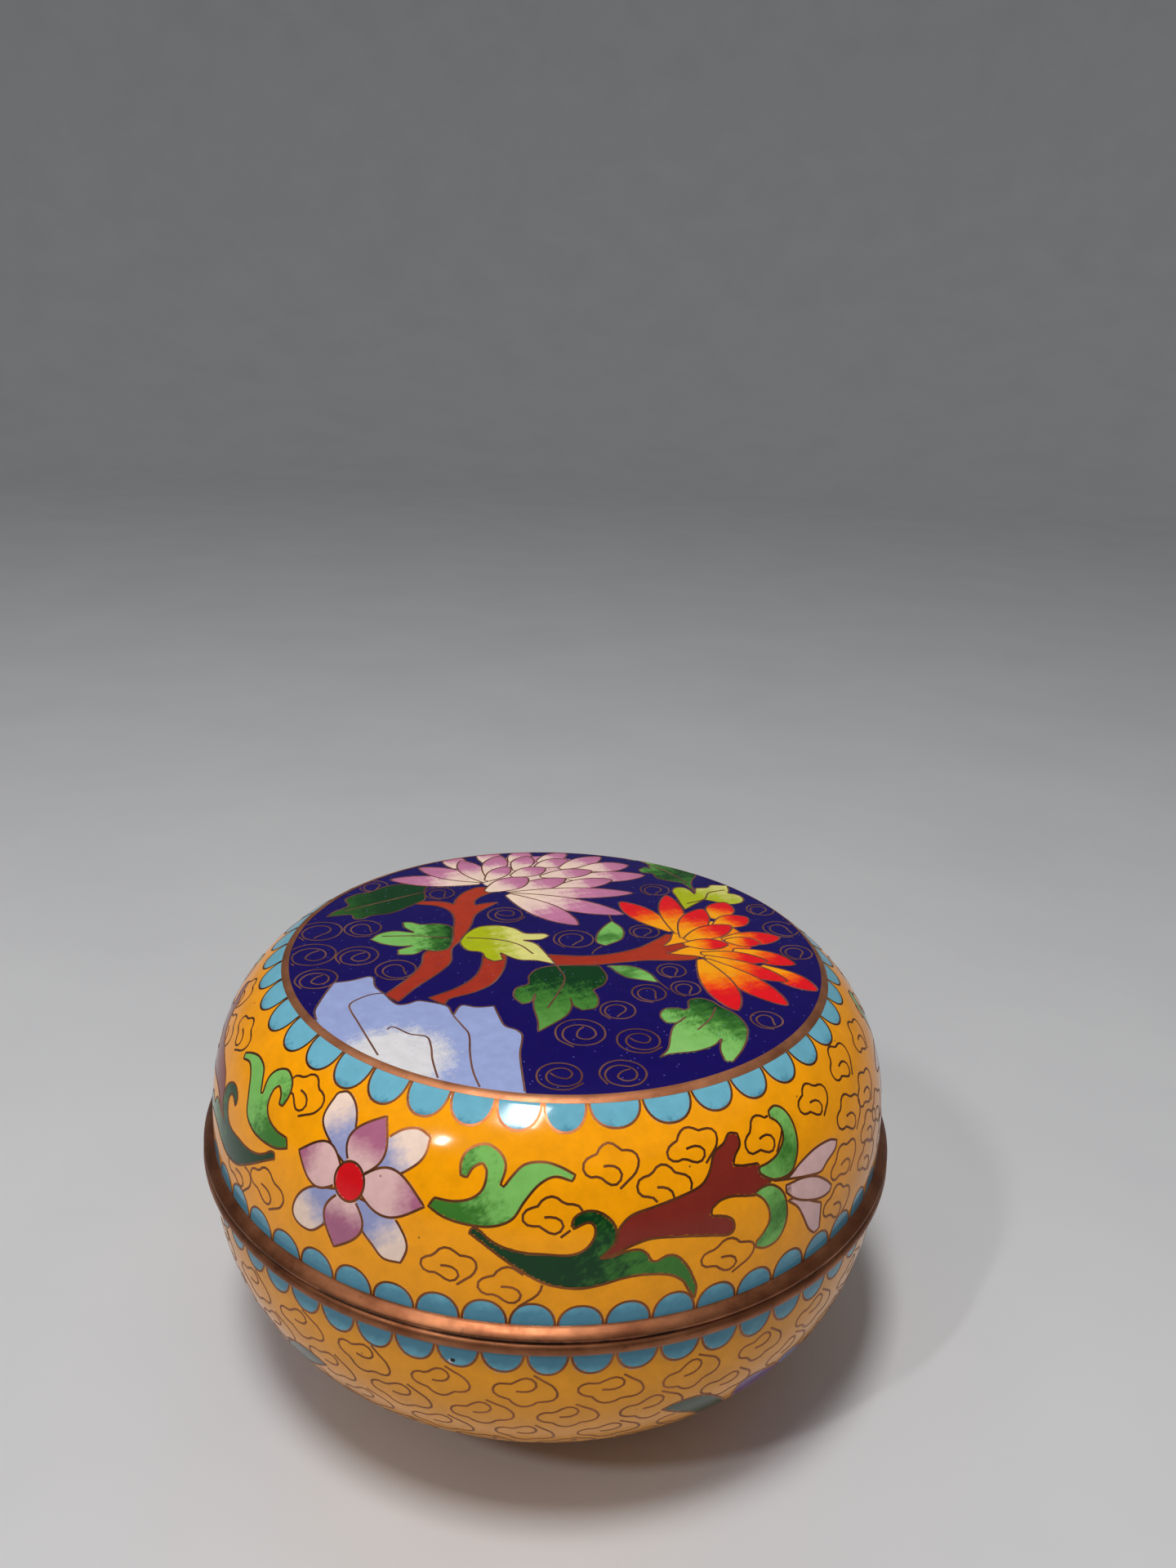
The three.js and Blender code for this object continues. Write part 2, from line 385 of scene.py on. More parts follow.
class Picture:
    """What one coat carries. A cell has an outline, tones along a line, and its wire round it;
    a bare wire has only its path."""

    def __init__(self, period=None):
        self.period = period
        self.items = []

    def wire(self, path):
        """Adds a bare wire."""
        self.items.append({"path": path, "closed": False, "tones": None, "wired": True})

    def lines(self, paths):
        """Adds bare wires, each a smooth line through its points."""
        for path in paths:
            self.wire(smooth(path, closed=False))

    def cell(self, outline, tones, start, end, uneven=0.1, wired=True, radial=False):
        """Adds a cell. Its tones are (share of the line from start to end, colour) pairs, and the
        first and last hold beyond their shares."""
        self.items.append({"path": outline, "closed": True, "tones": tones, "start": start,
                           "end": end, "uneven": uneven, "wired": wired, "radial": radial})

    def colours(self, flat, ground):
        """The colour of each flat point: its share along the line of the last cell that holds it,
        or of the way out from the line's start where the cell is radial, made uneven by the mottle
        and by a fine grain, between that cell's tones."""
        grain = np.random.default_rng(7).normal(0, 0.45, len(flat))
        colours = np.array(ground)
        for item in self.items:
            if item["tones"] is None:
                continue
            outline = item["path"]
            low, high = outline.min(0), outline.max(0)
            moved = near(flat, (low[0] + high[0]) / 2, self.period)
            some = np.flatnonzero(((moved > low) & (moved < high)).all(-1))
            some = some[inside(moved[some], outline)]
            start, end = np.asarray(item["start"], float), np.asarray(item["end"], float)
            along = end - start
            share = (moved[some] - start) @ along / (along @ along)
            if item["radial"]:
                share = np.hypot(*(moved[some] - start).T) / np.hypot(*along)
            share += item["uneven"] * (mottle(moved[some], 3.0) + grain[some])
            stops = [stop for stop, _ in item["tones"]]
            tones = np.array([linear(colour) for _, colour in item["tones"]])
            colours[some] = np.stack([np.interp(share, stops, tones[:, k]) for k in range(3)], -1)
        return colours

    def wires(self, keep=None):
        """The wires that show: each path, less what a later cell covers, in unbroken runs of three
        points or more. A cell covers a little less than its outline, so wires may meet its own."""
        covered = 0.985
        runs = []
        cells = [(number, item["path"]) for number, item in enumerate(self.items) if item["tones"]]
        for number, item in enumerate(self.items):
            if not item["wired"]:
                continue
            path = item["path"]
            shown = np.ones(len(path), bool) if keep is None else keep(path)
            low, high = path.min(0), path.max(0)
            for later, outline in cells:
                if later <= number:
                    continue
                middle = (outline.min(0) + outline.max(0)) / 2
                reach = (outline.max(0) - outline.min(0)) / 2
                moved = near(path, middle[0], self.period)
                if (np.abs(moved - middle) < reach).all(-1).any():
                    shown &= ~inside(moved, middle + (outline - middle) * covered)
            if shown.all():
                runs.append((path, item["closed"]))
                continue
            if item["closed"] and shown.any():
                first = np.flatnonzero(~shown)[0]
                path, shown = np.roll(path, -first, 0), np.roll(shown, -first)
            edges = np.flatnonzero(np.diff(np.concatenate([[0], shown, [0]]).astype(int)))
            runs += [(path[a:b], False) for a, b in edges.reshape(-1, 2) if b - a > 2]
        return runs


def wire_piece(name, runs, place, width):
    """Wires set in a coat: each run carries a narrow section of three corners, two just above the
    surface, half a width to either side of the run, and one below it. Each wire's lift is one of
    nine that differ by a hair, so that no two that cross lie in one face."""
    lift, root, hair = 0.02, 0.16, 0.0006
    points, quads, caps, count = [], [], [], 0
    for number, (run, closed) in enumerate(runs):
        centre = place(run)
        up = place(run, 1.0) - centre
        ahead = np.roll(centre, -1, 0) - np.roll(centre, 1, 0)
        if not closed:
            ahead[0], ahead[-1] = centre[1] - centre[0], centre[-1] - centre[-2]
        aside = np.cross(up, ahead)
        aside *= width / 2 / np.linalg.norm(aside, axis=-1, keepdims=True)
        above = up * (lift + hair * (number % 9))
        section = np.stack([centre + aside + above, centre - aside + above, centre - up * root], 1)
        points.append(section.reshape(-1, 3))
        rows = len(run)
        quads.append(count + grid_faces(rows, 3, closed, True))
        if not closed:
            last = count + 3 * (rows - 1)
            caps += [[count, count + 2, count + 1], [last, last + 1, last + 2]]
        count += 3 * rows
    return new_piece(name, np.concatenate(points), [np.concatenate(quads), np.array(caps)])


# The picture on the lid's top

COBALT = (16, 2, 86)
CREAM, PALE_PINK, PINK, MAUVE = (242, 218, 190), (238, 204, 192), (200, 126, 160), (182, 106, 142)
GOLD, ORANGE, VERMILION, RED = (250, 162, 6), (246, 116, 2), (236, 52, 14), (224, 14, 26)
BROWN, BRICK = (174, 52, 26), (160, 46, 28)
DEEP_GREEN, GREEN = (6, 56, 22), (60, 118, 42)
SPRING_GREEN, PALE_GREEN = (122, 184, 92), (134, 190, 104)
LIME, STRAW = (170, 180, 12), (218, 212, 124)
PERIWINKLE, CHALK = (150, 162, 206), (216, 213, 214)
OLD_LEAF, YOUNG_LEAF = (38, 88, 30), (90, 146, 64)

MUM_TONES = [(0, CREAM), (0.4, PALE_PINK), (0.6, PINK), (1, MAUVE)]
FLAME_TONES = [(0.26, GOLD), (0.44, ORANGE), (0.58, VERMILION), (0.68, RED)]
BARK_TONES = [(0, BRICK), (1, BROWN)]
MUM_HEART = [(-12, 23), (-12, 30), (-9, 35), (0, 36), (6, 33), (6, 28), (4, 22), (0, 19), (-6, 19),
             (-10, 21)]
FLAME_HEART = [(17.7, 5.3), (18.2, 7), (20, 10), (24, 11), (27, 9.5), (29, 5.5), (29, 1), (27, -3),
               (24, -5), (21.6, -1.9), (18.5, -1.4), (16.8, -1.2), (16.2, 1.2), (17.2, 3.2)]

MUM = [((-12.5, 22.9), (-27.3, 24.0), 4.6), ((-11.8, 23.6), (-23.3, 29.5), 4.5),
       ((-17, 29.3), (-18, 35.3), 4), ((-11.6, 23.5), (-16.5, 33.2), 4.3),
       ((-12.3, 32.2), (-11.5, 38.1), 4.2), ((-11.4, 26), (-9.9, 36), 4.2),
       ((-8, 33), (-5.2, 38.3), 4), ((-7, 29), (-5, 36.2), 3.8), ((-3.4, 33.5), (1.5, 38.2), 3.5),
       ((-3.6, 31), (1.9, 35), 4), ((0.5, 30.5), (7.6, 37.2), 4), ((3.5, 30.5), (12.3, 33.5), 4.5),
       ((1.5, 26), (14.9, 29), 4.6), ((-11.5, 24), (-8.2, 30.8), 3.4), ((-7.5, 26.3), (-2, 30.7), 4),
       ((-2.7, 26.5), (6, 30), 4), ((-0.3, 21.8), (9.3, 26.3), 4), ((-7.3, 19.5), (1.5, 26), 4.5),
       ((-11.2, 19.4), (-4.8, 25.9), 5), ((-7.5, 18.9), (12.6, 20.8), 4.4),
       ((-7.5, 18.6), (10.7, 12), 5), ((-7.8, 18.4), (3.6, 7.3), 5)]

FLAME = [((17.7, 6.5), (10.2, 17), 4.5), ((24.7, 12), (27.3, 18.8), 4.5),
         ((18.6, 5.8), (17.9, 20.6), 3.9), ((24.6, 9.5), (30.2, 13.3), 4.5),
         ((19.3, 4.3), (23.3, 15.7), 4.5), ((25.2, 4.5), (34.3, 6.5), 4.5),
         ((19.6, 3.8), (27.2, 9.8), 4.2), ((26.5, 1.2), (35.2, -2.5), 4.2),
         ((25.6, 4.3), (31, 4), 3.3), ((30, -3.5), (37, -10.3), 4), ((21.5, -0.5), (31.2, -2), 3.5),
         ((19.2, 2.2), (26, 3), 3.6), ((22, -1.5), (33.2, -8), 4), ((22, -2.5), (32.1, -15), 4.6),
         ((21.2, -2.5), (24.9, -17.2), 4.7)]

TRUNK = [(-22.6, -15.8), (-20, -11), (-18.7, -7), (-18.5, -3), (-15.2, -0.5), (-15.2, 5), (-15.5, 9),
         (-16.5, 11.5), (-18.5, 13.2), (-21.8, 13.8), (-21.8, 14.8), (-19.5, 15.1), (-17.5, 14.8),
         (-15.9, 14), (-15.9, 15.5), (-15, 18.5), (-13, 21), (-11.6, 21.3), (-10.3, 19),
         (-11.8, 17.5), (-12.8, 15.5), (-12.6, 13.7), (-11.2, 14.6), (-9, 15.2), (-10.8, 12.8),
         (-12.3, 10), (-12.7, 6), (-13.8, 1), (-14.8, -2), (-14.6, -6), (-16, -9.5),
         (-18.5, -13.5), (-20.5, -17.7)]
SECOND_TRUNK = [(-16.6, -16.5), (-13, -13.5), (-11, -10.5), (-10.2, -7), (-10.2, -4.5), (-10.2, -2),
                (-7, -2.5), (-6.8, -5.5), (-7.2, -9), (-8.5, -12.5), (-11, -15), (-13.8, -16.7),
                (-14.3, -18.3)]
LONG_BRANCH = [(-1, -3), (4, -3.1), (8, -2.2), (12, 0), (14.5, 2.5), (16.8, 5.4), (17.6, 5.3),
               (19.5, 3.5), (21.5, 0.5), (20.8, -2.3), (18, -3.3), (14, -3.6), (10, -4.6),
               (6, -5.7), (0.3, -6.3)]
BRANCH_WEDGE = [(16.1, 1.1), (17.6, 1.9), (19.2, 2.7), (20.9, 2.8), (21.1, 2.0), (18.9, 0.8),
                (17.5, -0.5), (16.4, -1.3)]

ROCK = [(-31, -20.8), (-30.8, -17), (-30, -12.5), (-28, -12), (-25.5, -10.6), (-24.8, -11),
        (-24.2, -13.5), (-22.7, -15.5), (-20.6, -18.3), (-19.3, -18.2), (-18, -17.3),
        (-17, -17.4), (-14, -18.5), (-13.2, -20.2), (-12.9, -21), (-12.3, -18.6), (-11.8, -18.2),
        (-10, -18.7), (-7.7, -18.3), (-7.2, -20), (-6, -23.3), (-4.5, -24.2), (-3.7, -25.5),
        (-3.8, -30), (-2.8, -38.6), (-9, -38.6), (-16, -36), (-23, -31.5), (-28.5, -26)]
ROCK_LINES = [[(-22.7, -15.3), (-24.5, -15.8), (-26.5, -17.7), (-26.8, -19), (-25, -23),
               (-21.3, -30.7)],
              [(-21, -24.7), (-20.7, -24), (-20, -24.2), (-18, -25.7), (-15.8, -26.3),
               (-15, -28.5), (-14.5, -31.5), (-13.2, -36.3)],
              [(-12.9, -21), (-11.5, -23.5), (-10.5, -25.5), (-10, -30), (-9.3, -34), (-8, -38)]]

# Each leaf: its outline, its tones, the line they run along, and its veins
LEAVES = [
    ([(-34.9, 8.7), (-34.2, 10.5), (-32.3, 13), (-33.2, 15.5), (-31.5, 17.8), (-30, 18.4),
      (-27.5, 21), (-25, 22), (-20.5, 21.9), (-21.2, 19.5), (-20.7, 15.8), (-22, 14), (-24, 11.5),
      (-25.5, 10.2), (-28.3, 9.2), (-29.3, 8.1), (-30.6, 8), (-31.2, 9.7), (-33, 9.4)],
     [(0, OLD_LEAF), (0.45, DEEP_GREEN)], (-34, 13), (-21, 17),
     [[(-32.5, 11), (-27, 14.8), (-21.4, 18.6)]]),
    ([(-27, 0.8), (-26, 2.8), (-24, 3.8), (-20.8, 3.3), (-22.6, 5.2), (-23, 7), (-21.8, 7),
      (-20.3, 6.3), (-17.5, 6.6), (-15.5, 5.5), (-15.1, 2.5), (-15, 0), (-15.5, -2), (-17, -2.7),
      (-18.8, -2.3), (-20, -3.8), (-22.3, -4), (-22.6, -2.5), (-20.5, -1), (-22.5, -1.3),
      (-25, -0.6)],
     [(0.55, SPRING_GREEN), (0.75, GREEN), (1, DEEP_GREEN)], (-27, 1), (-15, 2),
     [[(-25.5, 2), (-20, 2.2), (-15.5, 1.6)]]),
    ([(-13.8, 0.3), (-13.3, 3), (-11.5, 5.7), (-8.5, 6.4), (-6, 5.5), (-4.5, 3.9), (-1.5, 3.9),
      (-0.8, 3.2), (-2, 1.9), (-4.8, 1.5), (-2.8, 0.5), (-1, -3), (0.3, -6), (-2.5, -5),
      (-5, -4.9), (-7, -3.5), (-7.8, -2.7), (-7.2, -5), (-8.5, -5.6), (-9.8, -4.5),
      (-10.5, -2.8), (-12.5, -2.3)],
     [(0.35, LIME), (0.65, STRAW)], (-13, -1), (-1, 1),
     [[(-13, 1.9), (-8.5, 1.5), (-5.2, 0), (-3, -2.9)]]),
    ([(0.3, -6.4), (6.5, -6), (7.5, -9), (7, -11.5), (5.5, -13.2), (6.2, -15.5), (5.8, -18),
      (4, -18.8), (2.8, -17.5), (2.4, -15.5), (2.6, -18), (1.8, -20.5), (-1.7, -24.6), (-1.8, -22),
      (-2.5, -18), (-2.3, -14.5), (-2.9, -17), (-4, -17.6), (-5.2, -15.8), (-5, -13.3),
      (-3.4, -12), (-3.4, -9.8), (-2.2, -7.5)],
     [(0.3, DEEP_GREEN), (0.55, GREEN), (1, YOUNG_LEAF)], (1, -6), (0, -23),
     [[(0.5, -6.5), (1.6, -10), (0.8, -14), (-0.6, -18.5)]]),
    ([(8.7, 9.4), (10.3, 6.5), (10, 3), (7.5, 0.5), (6.3, 1.5), (6.3, 4), (7.3, 7)],
     [(0.4, SPRING_GREEN), (0.7, GREEN), (1, SPRING_GREEN)], (8.5, 9), (8, 1), []),
    ([(7.7, -5.8), (11, -5.7), (13.5, -7.5), (14.7, -10.3), (12.5, -9.8), (10, -9)],
     [(0, PALE_GREEN), (0.35, GREEN), (0.7, SPRING_GREEN)], (8, -6), (14.5, -10), []),
    ([(18.3, -17), (18.5, -15), (20, -14.2), (21.8, -15), (22.5, -16), (24.5, -18), (25.6, -21),
      (25.3, -24), (24.3, -27), (22.8, -29.8), (21.8, -29.7), (21.5, -27), (22, -24.3),
      (20.8, -26.2), (18.5, -27.7), (15, -28.7), (13.6, -29.6), (14.8, -27.5), (15.4, -24),
      (16, -21.8), (17.8, -19.3), (16.5, -21), (15, -21.2), (14.3, -19.5), (15, -17.6),
      (16.8, -17.2), (17.8, -17.6)],
     [(0, DEEP_GREEN), (0.35, GREEN), (0.6, SPRING_GREEN), (1, PALE_GREEN)], (23.5, -16), (16, -27),
     [[(22, -16.5), (21, -19.5), (19, -22.6)]]),
    ([(12, 36.2), (15, 36.3), (18, 35.3), (21, 34), (22.8, 31.5), (23.5, 30), (22.8, 28),
      (22.4, 26), (22.8, 22.5), (21.9, 24.5), (20.8, 26.3), (18.5, 27), (16.8, 28), (16.3, 30),
      (14.5, 30.3), (14, 31.5), (15, 33), (16, 32.5), (15.5, 34.5), (14.5, 35.8)],
     [(0, SPRING_GREEN), (0.3, GREEN), (0.6, DEEP_GREEN), (1, GREEN)], (13, 35), (22.6, 25),
     [[(14.5, 35.5), (18.5, 31.5), (21.8, 26.5)]]),
    ([(19, 22.5), (19.5, 24), (20.8, 24.3), (21.8, 23.5), (22.6, 21.5), (23, 24.3), (25, 24.8),
      (25.7, 26), (28.4, 26.2), (28.5, 24.3), (28.2, 22.8), (29.5, 22.5), (30.5, 21), (30, 19.2),
      (28, 18.2), (24, 19.5), (22, 17), (20.5, 15), (20, 17), (19.5, 20)],
     [(0.5, LIME), (1, STRAW)], (21, 16), (27, 26),
     [[(21, 17.5), (24, 19.7), (25, 22.5), (27.8, 24.2)]])]

STALKS = [[(8.3, 11.5), (8.7, 9.4)], [(7, 0.3), (6, -1), (5.5, -2.4)], [(14.6, -9.9), (16, -12.3)],
          [(-5.3, 17.5), (1.9, 13)]]

# Each curl: its middle, radius, the angle of its outer end and its ending
CURLS = [((-34.9, 3.6), 3.3, -120, HOOK), ((-28.7, 4.7), 2.8, -60, HOOK),
         ((-34.6, -4.2), 3.5, -120, BAR), ((-28, -4.5), 3, -130, BAR),
         ((-32.5, -11.5), 2.9, -120, BAR), ((-22, -8.6), 2.9, -60, HOOK),
         ((-18.6, 18.4), 2.4, -80, HOOK), ((-29.5, 21), 2.3, -90, HOOK),
         ((-7.7, 10.4), 2.8, -10, BAR), ((2.9, 2.4), 3, -115, HOOK), ((13.6, 6), 2.3, -115, HOOK),
         ((16.2, 22.6), 2.4, -110, HOOK), ((34.9, 9.6), 2.8, -60, HOOK),
         ((36, 1.6), 2.4, -100, HOOK), ((32.7, 16.6), 2.2, -120, HOOK),
         ((16.8, -6.5), 2.1, -95, HOOK), ((18.4, -11.6), 2.1, -95, HOOK),
         ((13.2, -13.4), 2.4, -80, HOOK), ((8.8, -18.4), 2.4, -115, HOOK),
         ((3.8, -24.4), 3.3, -105, BAR), ((11.2, -25.8), 2.9, -25, BAR),
         ((28.6, -19.1), 2.2, -75, HOOK), ((1.2, -34.4), 2.9, -25, BAR),
         ((9, -33.4), 2.9, -130, BAR)]


def top_picture():
    """Wire curls, rocks, branches, leaves and two chrysanthemums on the cobalt ground."""
    picture = Picture()
    for centre, size, start, ending in CURLS:
        picture.wire(curl(centre, size, start, ending))
    for trunk in (TRUNK, SECOND_TRUNK):
        picture.cell(smooth(trunk), BARK_TONES, (-16, -18), (-12, 16), 0.3)
    picture.cell(smooth(ROCK), [(0.66, CHALK), (1, PERIWINKLE)], (-19.1, -31.3), (-11.1, -31.3), 0.1,
                 radial=True)
    picture.lines(ROCK_LINES)
    picture.cell(smooth(LONG_BRANCH), BARK_TONES, (0, -6), (18, 3), 0.3)
    picture.lines(STALKS)
    for outline, tones, start, end, veins in LEAVES:
        picture.cell(smooth(outline), tones, start, end, 0.12)
        picture.lines(veins)
    picture.cell(smooth(MUM_HEART), MUM_TONES, (-9, 19), (0, 46), 0.1, wired=False)
    picture.cell(smooth(FLAME_HEART), FLAME_TONES, (19, 4), (37, 0), 0.1)
    wedge = smooth(BRANCH_WEDGE, closed=False)
    picture.cell(wedge, BARK_TONES, (16, 0), (21, 2), 0.3, wired=False)
    picture.wire(wedge)
    for tones, petals in ((MUM_TONES, MUM), (FLAME_TONES, FLAME)):
        for base, tip, width in petals:
            picture.cell(smooth(petal(base, tip, width)), tones, base, tip, 0.07)
    return picture


# The pictures on the sides

YELLOW, BASE_YELLOW = (246, 158, 0), (236, 154, 6)
TURQUOISE, TEAL = (106, 172, 192), (78, 140, 164)
BLUSH, LILAC, SKY, IVORY = (222, 180, 176), (170, 100, 128), (146, 152, 194), (238, 210, 192)
FLOWER_RED = (212, 16, 24)
RUST, BUD_SHADE = (128, 40, 28), (120, 84, 76)
VIOLET, PLUM, PURPLE = (96, 70, 150), (150, 100, 160), (104, 58, 128)
SCALLOP_TONES = [(0.5, TEAL), (1, TURQUOISE)]

# Each of the flower's front petals: its base, tip, width, the sideways hook of its tip, and where
# along it the lilac starts
LID_PETALS = [((-28.6, 14.2), (-27.4, 21.6), 5.8, -0.9, 0.2),
              ((-27.6, 13.2), (-17, 13.2), 5.6, -0.5, 0.5),
              ((-29.2, 11.4), (-29.6, 4.0), 5.8, -1.0, 0.15),
              ((-31.0, 13), (-39.6, 14), 5.6, 0.4, 0.5)]
LID_BACK_PETALS = [
    [(-30.4, 14.5), (-33.5, 15.9), (-37.2, 18.3), (-36.9, 21.8), (-35, 22.4), (-32.3, 21.2),
     (-30.8, 18.8)],
    [(-28, 14.4), (-26.3, 18), (-25.5, 18.7), (-23, 20.5), (-20.5, 21.1), (-18.2, 20.5),
     (-18.3, 18.5), (-19.5, 17), (-23, 15)],
    [(-27.6, 11.5), (-22, 10.9), (-19.7, 9), (-19, 7.3), (-19.8, 5.2), (-22.5, 5.1), (-24.2, 6.3),
     (-26.8, 8.5)],
    [(-31, 11.5), (-35.5, 10.4), (-38, 8.5), (-39, 6), (-38, 4.8), (-35.5, 4.6), (-33.8, 5.5),
     (-31.5, 8)]]

SCROLL_LEAF = [(-16.5, 12.9), (-15.8, 14), (-13, 14), (-10.5, 14.6), (-9, 15.8), (-8.7, 17.8),
               (-9.5, 18.7), (-10.8, 18), (-11.5, 16.8), (-12.5, 17), (-12.7, 18.6), (-11.8, 20),
               (-9.3, 20.8), (-7, 20), (-6, 18.6), (-6.5, 16.5), (-6, 16.3), (-5, 17.5),
               (-3.3, 18.9), (-0.5, 19.3), (2, 18.8), (4.2, 17.9), (3.8, 17.2), (1.2, 17.7),
               (-1, 16.8), (-3, 14.8), (-4.5, 12.8), (-7, 11.8), (-10, 11.6), (-14, 12)]
DARK_SCROLL = [(-10.3, 10.7), (-10, 11.4), (-9, 11.2), (-8, 10.5), (-6, 9.6), (-3, 9), (0, 8.9),
               (3.5, 8.8), (5.5, 9.4), (6.8, 10.8), (6.9, 12), (6.2, 12.6), (5.2, 12.4), (4, 11.9),
               (3.7, 12.4), (4.2, 13.3), (6, 13.9), (8, 13.5), (9.6, 12.2), (9.9, 10.8),
               (9.4, 9.7), (7.6, 8.2), (9.5, 8.4), (11, 8.8), (13, 8.9), (14.2, 8.2), (14.8, 7.3),
               (15.5, 7.1), (17, 7.6), (18.5, 7.3), (20, 5.8), (21, 4), (21.6, 2.5), (21.4, 1),
               (20.3, 2.5), (19.5, 3.8), (17.5, 5), (14, 5.6), (11, 5.5), (8, 4.9), (5, 4.5),
               (2, 4.8), (0, 5.3), (-2, 6.2), (-5, 7.8), (-8, 9.5)]
SCROLL_BRANCH = [(7.4, 8.1), (7.6, 8.6), (9.5, 9.7), (10, 10.8), (10.3, 11.7), (12, 13),
                 (15, 13.6), (20, 14.4), (23, 15.1), (24.5, 16.3), (26, 18.3), (28, 19),
                 (29.3, 19.9), (30.8, 19.6), (30.7, 18.3), (29.3, 17.2), (28.7, 16.3), (30, 15.9),
                 (33, 15.5), (33.5, 14.3), (34.3, 13.7), (35, 13), (32, 12), (30, 12.3),
                 (27.5, 12.8), (25.5, 12.7), (24, 12), (24, 11.2), (25.5, 10.9), (27, 10.3),
                 (27.6, 9.5), (27.4, 8.6), (26.5, 8.3), (24, 8.8), (20, 9.5), (15, 10),
                 (12.5, 9.6), (10, 8.8)]
UPPER_SPRIG = [(33, 14.3), (33, 15), (35, 15.1), (37, 15.6), (39, 17), (39.3, 18.3), (38.8, 19.2),
               (37.8, 19.9), (38.2, 20.7), (39.8, 20.9), (41.3, 20), (42, 18), (41.5, 15.5),
               (40.3, 13.8), (39, 12.8), (37, 12.6), (35, 13)]
LOWER_SPRIG = [(31.5, 12.2), (33, 12.6), (35, 12.3), (36.8, 10.8), (37.3, 8.5), (36.8, 6.5),
               (35.3, 5), (33, 4.7), (31.3, 5.3), (31.2, 6), (32.5, 6.8), (33.7, 8), (33.8, 9.5),
               (33, 11)]
BUD = [[(35, 12.8), (38, 12.3), (41, 13.2), (45, 13.8), (49, 13.5), (50.8, 12.8), (50, 12),
        (47, 11.2), (45.5, 10.6), (43, 11), (39, 11.9)],
       [(37.5, 9.5), (39.5, 8), (40.8, 6), (42, 4), (43.5, 2.7), (44.7, 3), (44.8, 5), (45, 6.5),
        (43, 7.5), (39.5, 9.3)],
       [(37.5, 11.5), (41, 11.3), (44, 10.5), (46.5, 9), (47.8, 7.8), (47.3, 7.2), (45, 7.2),
        (42, 8), (39, 9.3), (37.3, 10.7)]]

# The turn in degrees and the drop of the lid's flower, and then of its joints and clouds
FLOWER_TURN = -29.3
FLOWER_DROP = 12.9
UPPER_JOINTS = [-41, -33, -25, -17, -9, -1, 6.6, 16, 25.3, 33.7, 41.7, 49.8]
LID_CLOUDS = [(9.5, 18.8), (22.7, 19.6), (17.2, 15.7), (-13, 6.3), (-4.5, 4.6), (26.5, 5.6),
              (35.5, 18.3), (48.5, 19), (56.5, 14.3), (52, 9.5), (49.5, 4.6)]
RIGHT_CLOUDS = [(1, 13.3), (60.7, 20), (60.7, 6.2)]
LEFT_CLOUDS = [(-15.6, 19.8), (58.5, 9.5)]
# The scroll to the left of a flower is this many degrees nearer to it than the one on the right
LEFT_NEARER = 4.0
# How large a cloud is, as a share of the one drawn
LID_CLOUD = 0.88
BASE_CLOUD = 0.93


def scallops(picture, joints, count, edge, height, tones, spare=0.0):
    """A row of scallops along an edge at a drop. The given joints, in degrees, are followed by
    even ones, to the count. Over each scallop the height above the edge is
    height (1 - |x|^f)^(1/f), where x runs from -1 to 1 over most of its width and f is the
    fullness. Its wire goes on past the edge by the spare length."""
    fullness, half_share = 2.15, 0.47
    rest = np.linspace(joints[-1], joints[0] + 360, count - len(joints) + 2)[1:]
    joints = DEGREE * np.append(joints, rest)
    x = np.sin(np.linspace(-np.pi / 2, np.pi / 2, 17))
    rise = (1 - np.abs(x) ** fullness) ** (1 / fullness)
    for left, right in zip(joints[:-1], joints[1:]):
        middle, half = (left + right) / 2, half_share * (right - left)
        tall = height * (1 + 0.06 * np.sin(3.7 * middle))
        line = np.stack([middle + x * half, edge + rise * tall], -1)
        low = edge - height * 0.3
        outline = np.vstack([line, [[middle + half, low], [middle - half, low]]])
        picture.cell(outline, tones, (middle, edge), (middle, edge + height), 0.12, wired=False)
        if spare:
            line = np.vstack([[middle - half, edge + spare], line, [middle + half, edge + spare]])
        picture.wire(line)


def heart(picture, middle, wide, tall):
    """A flower's red heart: an oval with half widths of wide and tall."""
    angle = np.linspace(0, 2 * np.pi, 25)[:-1]
    outline = middle + np.stack([wide * np.cos(angle), tall * np.sin(angle)], -1)
    picture.cell(smooth(outline), [(0, FLOWER_RED)], middle, middle + 1)


def mirrored(points, turn, way, drawn_at):
    """(degrees, drop) points drawn about one turn, carried to another, and mirrored where the way
    is -1, as flat ones."""
    flat = np.asarray(points, float).copy()
    flat[..., 0] = (turn + way * (flat[..., 0] - drawn_at)) * DEGREE
    return flat


